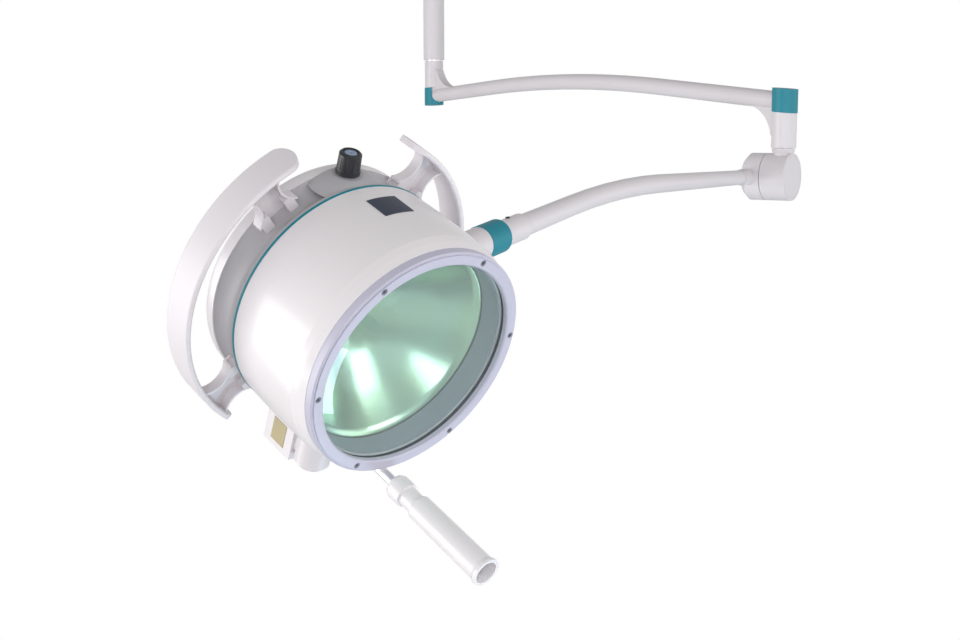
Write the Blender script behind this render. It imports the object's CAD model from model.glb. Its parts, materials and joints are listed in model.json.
"""Looks of the ceiling-mounted dental operating light.

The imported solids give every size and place. This script gives them their materials, swaps the plain
reflector for a faceted one, and adds the printed disc on the knob.
Lengths are metres and angles are degrees, in the part's own frame.
"""

import json
import math

import bpy
from mathutils import Matrix, Vector


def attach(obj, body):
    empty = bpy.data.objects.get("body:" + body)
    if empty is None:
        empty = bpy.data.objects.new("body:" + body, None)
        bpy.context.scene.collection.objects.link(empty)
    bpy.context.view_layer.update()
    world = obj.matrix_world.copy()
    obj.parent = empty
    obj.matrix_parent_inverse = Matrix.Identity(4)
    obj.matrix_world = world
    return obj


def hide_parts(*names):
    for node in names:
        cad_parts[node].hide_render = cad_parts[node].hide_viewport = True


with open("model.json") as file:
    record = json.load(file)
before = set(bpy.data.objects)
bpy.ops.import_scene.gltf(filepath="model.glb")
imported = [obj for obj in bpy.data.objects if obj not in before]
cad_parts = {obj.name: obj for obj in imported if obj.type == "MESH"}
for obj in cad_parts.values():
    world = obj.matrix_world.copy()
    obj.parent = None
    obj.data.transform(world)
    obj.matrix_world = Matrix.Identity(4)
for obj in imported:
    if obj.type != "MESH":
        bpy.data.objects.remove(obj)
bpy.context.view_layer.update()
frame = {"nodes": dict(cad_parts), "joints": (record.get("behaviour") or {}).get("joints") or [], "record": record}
joints = {joint["name"]: joint for joint in frame["joints"]}

# ---- sizes shared with the solids ----

PIVOT_BACK = 0.1845  # the head's upright pivot lies this far behind the plane of the front ring
PIVOT_SIDE = 0.190  # and this far from the beam's axis
KNOB_ALONG = -0.170
KNOB_ANGLE = -3.6
KNOB_TOP = 0.1735
REFLECTOR_RIM_ALONG = -0.038
REFLECTOR_RIM = 0.1195
REFLECTOR_THROAT = 0.022
REFLECTOR_FOCUS = 0.042
REFLECTOR_WALL = 0.0014

# ---- the reflector's pillow-shaped facets ----

FACETS_ROUND = 12
FACET_ROWS = 3
FACET_STEPS = 6  # mesh steps across one facet
FACET_BULGE = 0.0005

# ---- the lamp head's own frame: X is the beam, Y points to the arm, Z is the head's own up ----

beam = Vector(joints["grip_turn"]["axis"]).normalized()
upright = Vector(joints["head_pan"]["axis"]).normalized()
armward = upright.cross(beam).normalized()
ring_centre = Vector(joints["head_pan"]["pos_m"]) + PIVOT_BACK * beam - PIVOT_SIDE * armward
HEAD = Matrix.Translation(ring_centre) @ Matrix((beam, armward, upright)).transposed().to_4x4()


def about_beam(angle):
    """The head's frame turned so that its Z points outwards at an angle from the head's up."""
    return HEAD @ Matrix.Rotation(math.radians(-angle), 4, "X")


# ---- materials ----


def new_material(name):
    material = bpy.data.materials.new(name)
    material.use_nodes = True
    tree = material.node_tree
    return material, tree, tree.nodes["Principled BSDF"]


def noise(tree, scale, stretch=(1, 1, 1), detail=4):
    """Noise in the part's frame; scale is in features per metre."""
    coordinates = tree.nodes.new("ShaderNodeTexCoord")
    mapping = tree.nodes.new("ShaderNodeMapping")
    mapping.inputs["Scale"].default_value = stretch
    texture = tree.nodes.new("ShaderNodeTexNoise")
    texture.inputs["Scale"].default_value = scale
    texture.inputs["Detail"].default_value = detail
    tree.links.new(coordinates.outputs["Object"], mapping.inputs["Vector"])
    tree.links.new(mapping.outputs["Vector"], texture.inputs["Vector"])
    return texture.outputs["Fac"]


def between(tree, factor, low, high):
    """Maps a noise value to a range."""
    node = tree.nodes.new("ShaderNodeMapRange")
    node.inputs["From Min"].default_value = 0.2
    node.inputs["From Max"].default_value = 0.8
    node.inputs["To Min"].default_value = low
    node.inputs["To Max"].default_value = high
    tree.links.new(factor, node.inputs["Value"])
    return node.outputs["Result"]


def mixed_colour(tree, factor, first, second):
    node = tree.nodes.new("ShaderNodeMix")
    node.data_type = "RGBA"
    node.inputs["A"].default_value = (*first, 1)
    node.inputs["B"].default_value = (*second, 1)
    tree.links.new(factor, node.inputs["Factor"])
    return node.outputs["Result"]


def finish(name, colour, roughness, metallic=0.0, coat=0.0, grain=700, relief=0.00003, mottling=0.015,
           stretch=(1, 1, 1)):
    """A solid finish with faint mottling, uneven gloss and a fine surface relief."""
    material, tree, surface = new_material(name)
    broad = noise(tree, 14, detail=1)
    fine = noise(tree, grain, stretch)
    pale = [min(1, c * (1 + mottling)) for c in colour]
    dull = [c * (1 - mottling) for c in colour]
    tree.links.new(mixed_colour(tree, broad, dull, pale), surface.inputs["Base Color"])
    tree.links.new(between(tree, broad, roughness * 0.94, roughness * 1.06), surface.inputs["Roughness"])
    bump = tree.nodes.new("ShaderNodeBump")
    bump.inputs["Distance"].default_value = relief
    tree.links.new(fine, bump.inputs["Height"])
    tree.links.new(bump.outputs["Normal"], surface.inputs["Normal"])
    surface.inputs["Metallic"].default_value = metallic
    surface.inputs["Coat Weight"].default_value = coat
    surface.inputs["Coat Roughness"].default_value = 0.12
    return material


def clear_material(name, tint, haze, haze_colour):
    """Clear sheet: mostly see-through, with a reflection that grows at the edge and a little haze."""
    material, tree, surface = new_material(name)
    tree.nodes.remove(surface)
    through = tree.nodes.new("ShaderNodeBsdfTransparent")
    through.inputs["Color"].default_value = (*tint, 1)
    mirror = tree.nodes.new("ShaderNodeBsdfGlossy")
    mirror.inputs["Roughness"].default_value = 0.02
    veil = tree.nodes.new("ShaderNodeBsdfDiffuse")
    veil.inputs["Color"].default_value = (*haze_colour, 1)
    edge = tree.nodes.new("ShaderNodeFresnel")
    edge.inputs["IOR"].default_value = 1.5
    # Only the outer face reflects: seen from inside the sheet, the edge term would turn it opaque
    geometry = tree.nodes.new("ShaderNodeNewGeometry")
    outer = tree.nodes.new("ShaderNodeMath")
    outer.operation = "SUBTRACT"
    outer.inputs[0].default_value = 1.0
    reflected = tree.nodes.new("ShaderNodeMath")
    reflected.operation = "MULTIPLY"
    hazy = tree.nodes.new("ShaderNodeMixShader")
    glass = tree.nodes.new("ShaderNodeMixShader")
    tree.links.new(geometry.outputs["Backfacing"], outer.inputs[1])
    tree.links.new(outer.outputs["Value"], reflected.inputs[0])
    tree.links.new(edge.outputs["Fac"], reflected.inputs[1])
    tree.links.new(between(tree, noise(tree, 9), haze * 0.8, haze * 1.2), hazy.inputs["Fac"])
    tree.links.new(through.outputs["BSDF"], hazy.inputs[1])
    tree.links.new(veil.outputs["BSDF"], hazy.inputs[2])
    tree.links.new(reflected.outputs["Value"], glass.inputs["Fac"])
    tree.links.new(hazy.outputs["Shader"], glass.inputs[1])
    tree.links.new(mirror.outputs["BSDF"], glass.inputs[2])
    tree.links.new(glass.outputs["Shader"], tree.nodes["Material Output"].inputs["Surface"])
    return material


def mirror_material():
    """Coated reflector: its green drifts between yellowish and minty from place to place."""
    material, tree, surface = new_material("dichroic")
    colour = mixed_colour(tree, between(tree, noise(tree, 11, detail=1), 0, 1), (0.58, 0.75, 0.50),
                          (0.56, 0.78, 0.71))
    tree.links.new(colour, surface.inputs["Base Color"])
    tree.links.new(between(tree, noise(tree, 25), 0.18, 0.27), surface.inputs["Roughness"])
    surface.inputs["Metallic"].default_value = 0.85
    return material


materials = {
    "painted_white": finish("painted_white", (0.69, 0.655, 0.68), 0.38, coat=0.12),
    "shell_plastic": finish("shell_plastic", (0.80, 0.77, 0.79), 0.30, coat=0.3, mottling=0.006),
    "grey_plastic": finish("grey_plastic", (0.42, 0.41, 0.43), 0.45, grain=1400, relief=0.00005),
    "handle_plastic": finish("handle_plastic", (0.74, 0.70, 0.73), 0.42, grain=1400, relief=0.00005),
    "teal_plastic": finish("teal_plastic", (0.0025, 0.22, 0.29), 0.5, coat=0.04, mottling=0.03),
    "ring_lacquer": finish("ring_lacquer", (0.52, 0.51, 0.62), 0.38, coat=0.1),
    "steel": finish("steel", (0.90, 0.89, 0.90), 0.34, metallic=0.9, stretch=(1, 1, 12)),
    "dull_steel": finish("dull_steel", (0.20, 0.20, 0.23), 0.5, metallic=0.6),
    "bronze": finish("bronze", (0.50, 0.34, 0.13), 0.38, metallic=1.0),
    "black_metal": finish("black_metal", (0.035, 0.035, 0.04), 0.38, metallic=0.4),
    "black_plastic": finish("black_plastic", (0.022, 0.023, 0.028), 0.36, grain=2500, relief=0.00006),
    "black_rubber": finish("black_rubber", (0.03, 0.03, 0.03), 0.7),
    "clear_glass": clear_material("clear_glass", (0.93, 0.98, 0.97), 0.06, (0.8, 0.85, 0.9)),
    "dichroic_mirror": mirror_material(),
    "baffle_grey": finish("baffle_grey", (0.33, 0.34, 0.40), 0.45),
    "brake_lining": finish("brake_lining", (0.16, 0.09, 0.05), 0.8, mottling=0.3),
    "ceramic": finish("ceramic", (0.78, 0.75, 0.66), 0.6),
    "label_foil": finish("label_foil", (0.42, 0.35, 0.19), 0.5, mottling=0.25),
    "plate_enamel": finish("plate_enamel", (0.025, 0.035, 0.065), 0.4, coat=0.15),
}
slot_of = {part["node"]: part["material_slot"] for part in frame["record"]["subparts"]}
# The grab handles are of a lighter grey than the housing behind them, and the ring's screws are dull
slot_of["handle_left"] = "handle_plastic"
slot_of["handle_right"] = "handle_plastic"
slot_of["ring_screws"] = "dull_steel"
for node, thing in frame["nodes"].items():
    thing.data.materials.clear()
    thing.data.materials.append(materials[slot_of[node]])

# ---- pieces ----


def add_piece(name, points, faces, body, slot, place=HEAD, material=None):
    """A mesh piece that rides on a body. Points are in the frame that place gives."""
    mesh = bpy.data.meshes.new(name)
    mesh.from_pydata([place @ Vector(p) for p in points], [], faces)
    mesh.validate()
    mesh.update()
    mesh.shade_smooth()
    mesh.materials.append(material or materials[slot])
    piece = bpy.data.objects.new(name, mesh)
    bpy.context.scene.collection.objects.link(piece)
    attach(piece, body)
    return piece


def turned(profile, steps):
    """Points and faces of a closed (position along the beam, radius) outline turned about the beam."""
    points = []
    faces = []
    count = len(profile)
    for i in range(steps):
        angle = 2 * math.pi * i / steps
        for along, radius in profile:
            points.append((along, radius * math.sin(angle), radius * math.cos(angle)))
    for i in range(steps):
        near = i * count
        far = (i + 1) % steps * count
        for k in range(count):
            m = (k + 1) % count
            faces.append((near + k, near + m, far + m, far + k))
    return points, faces


def reflector_profile(rows):
    """Front and back line of the reflector's bowl."""

    def along(radius):
        return REFLECTOR_RIM_ALONG - (REFLECTOR_RIM**2 - radius**2) / (4 * REFLECTOR_FOCUS)

    radii = [REFLECTOR_THROAT + (REFLECTOR_RIM - REFLECTOR_THROAT) * i / rows for i in range(rows + 1)]
    front = [(along(r), r) for r in radii]
    back = [(a - REFLECTOR_WALL, r) for a, r in reversed(front)]
    lip = [(REFLECTOR_RIM_ALONG, REFLECTOR_RIM + 0.004),
           (REFLECTOR_RIM_ALONG - REFLECTOR_WALL, REFLECTOR_RIM + 0.004)]
    return front + lip + back


def pillow(place):
    """Height across a facet whose edges lie at whole numbers: 0 at the edges, 1 in the middle."""
    across = place % 1 * 2 - 1
    return 1 - across * across


def faceted_bowl():
    front_rows = FACET_ROWS * FACET_STEPS
    profile = reflector_profile(front_rows)
    points, faces = turned(profile, FACETS_ROUND * FACET_STEPS)
    for index, (along, side, up) in enumerate(points):
        step, row = divmod(index, len(profile))
        if row <= front_rows:
            height = FACET_BULGE * pillow(step / FACET_STEPS) * pillow(row / FACET_STEPS)
            points[index] = (along + height, side, up)
    return points, faces


bowl_points, bowl_faces = faceted_bowl()
bowl = add_piece("faceted_reflector", bowl_points, bowl_faces, "lamp_head", "dichroic_mirror")
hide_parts("reflector")

# Printed disc on top of the knob
disc_points, disc_faces = turned([(KNOB_TOP - 0.0006, 0.0001), (KNOB_TOP - 0.0006, 0.0068),
                                  (KNOB_TOP - 0.0011, 0.0072), (KNOB_TOP - 0.0016, 0.0072),
                                  (KNOB_TOP - 0.0016, 0.0001)], 40)
knob_axis = about_beam(KNOB_ANGLE) @ Matrix.Translation((KNOB_ALONG, 0, 0)) @ Matrix.Rotation(
    math.radians(-90), 4, "Y")
add_piece("knob_disc", disc_points, disc_faces, "dimmer_knob", "black_plastic", place=knob_axis,
          material=finish("disc_blue", (0.25, 0.33, 0.45), 0.4))

# ---- studio ----

FLOOR_Z = -2.3
STUDIO_R = 14.0


def studio_floor():
    mesh = bpy.data.meshes.new("studio_floor")
    corners = [(-STUDIO_R, -STUDIO_R, FLOOR_Z), (STUDIO_R, -STUDIO_R, FLOOR_Z), (STUDIO_R, STUDIO_R, FLOOR_Z),
               (-STUDIO_R, STUDIO_R, FLOOR_Z)]
    mesh.from_pydata(corners, [], [(0, 1, 2, 3)])
    floor = bpy.data.objects.new("studio_floor", mesh)
    bpy.context.scene.collection.objects.link(floor)
    material, tree, surface = new_material("studio_white")
    tree.links.new(between(tree, noise(tree, 3), 0.86, 0.90), surface.inputs["Base Color"])
    surface.inputs["Roughness"].default_value = 0.9
    # The camera sees the floor as bright as the backdrop
    white = tree.nodes.new("ShaderNodeEmission")
    seen = tree.nodes.new("ShaderNodeLightPath")
    either = tree.nodes.new("ShaderNodeMixShader")
    tree.links.new(seen.outputs["Is Camera Ray"], either.inputs["Fac"])
    tree.links.new(surface.outputs["BSDF"], either.inputs[1])
    tree.links.new(white.outputs["Emission"], either.inputs[2])
    tree.links.new(either.outputs["Shader"], tree.nodes["Material Output"].inputs["Surface"])
    mesh.materials.append(material)


def studio_world():
    """White backdrop. As a light it is dim overhead and bright at and below the horizon."""
    world = bpy.data.worlds.new("studio")
    bpy.context.scene.world = world
    world.use_nodes = True
    tree = world.node_tree
    background = tree.nodes["Background"]
    geometry = tree.nodes.new("ShaderNodeNewGeometry")
    height = tree.nodes.new("ShaderNodeSeparateXYZ")
    tree.links.new(geometry.outputs["Incoming"], height.inputs["Vector"])
    fade = tree.nodes.new("ShaderNodeMapRange")
    fade.inputs["From Min"].default_value = -0.7
    fade.inputs["From Max"].default_value = 0.1
    fade.inputs["To Min"].default_value = 0.38
    fade.inputs["To Max"].default_value = 0.95
    tree.links.new(height.outputs["Z"], fade.inputs["Value"])
    seen = tree.nodes.new("ShaderNodeLightPath")
    strength = tree.nodes.new("ShaderNodeMix")
    strength.inputs["B"].default_value = 1.0
    tree.links.new(seen.outputs["Is Camera Ray"], strength.inputs["Factor"])
    tree.links.new(fade.outputs["Result"], strength.inputs["A"])
    tree.links.new(strength.outputs["Result"], background.inputs["Strength"])
    background.inputs["Color"].default_value = (1, 1, 1, 1)


def softbox(name, at, aim, size, power, colour=(1, 1, 1)):
    lamp = bpy.data.lights.new(name, "AREA")
    lamp.shape = "RECTANGLE"
    lamp.size, lamp.size_y = size
    lamp.energy = power
    lamp.color = colour
    box = bpy.data.objects.new(name, lamp)
    box.location = at
    box.rotation_mode = "QUATERNION"
    box.rotation_quaternion = (Vector(aim) - Vector(at)).to_track_quat("-Z", "Y")
    box.visible_camera = False
    bpy.context.scene.collection.objects.link(box)


studio_floor()
studio_world()
softbox("left_softbox", (0.2, -3.2, -1.0), ring_centre, (1.8, 1.8), 36)
softbox("front_softbox", (3.6, -2.6, -0.3), ring_centre, (1.4, 1.4), 20)
softbox("right_softbox", (3.2, 2.0, -1.0), (1.1, -0.1, -0.6), (1.6, 1.6), 12)
# The first is mirrored by the bevel of the front glass, the second by the reflector
BEVEL_WAY = Vector((0.37, 0.45, -0.81))
BOWL_WAY = Vector((0.80, 0.55, 0.24))
softbox("bevel_softbox", ring_centre + 1.8 * BEVEL_WAY, ring_centre, (0.46, 0.46), 9, (0.62, 0.83, 1))
softbox("bowl_softbox", ring_centre + 1.5 * BOWL_WAY, ring_centre, (0.75, 0.75), 6)

CAMERA_AT = (2.8574, -1.8803, -0.4875)
CAMERA_AZIMUTH = 54.8
CAMERA_ELEVATION = 8.0
LENS = 52.5

camera_data = bpy.data.cameras.new("camera")
camera_data.lens = LENS
camera_data.sensor_width = 36
camera = bpy.data.objects.new("camera", camera_data)
azimuth = math.radians(CAMERA_AZIMUTH)
elevation = math.radians(CAMERA_ELEVATION)
back = Vector((math.sin(azimuth) * math.cos(elevation), -math.cos(azimuth) * math.cos(elevation),
               math.sin(elevation)))
camera.location = CAMERA_AT
camera.rotation_mode = "QUATERNION"
camera.rotation_quaternion = (-back).to_track_quat("-Z", "Y")
bpy.context.scene.collection.objects.link(camera)
bpy.context.scene.camera = camera
bpy.context.scene.view_settings.view_transform = "Standard"

# ---- sizes, for the record ----


def corners(bounds):
    return [list(bounds[0]), list(bounds[1])]
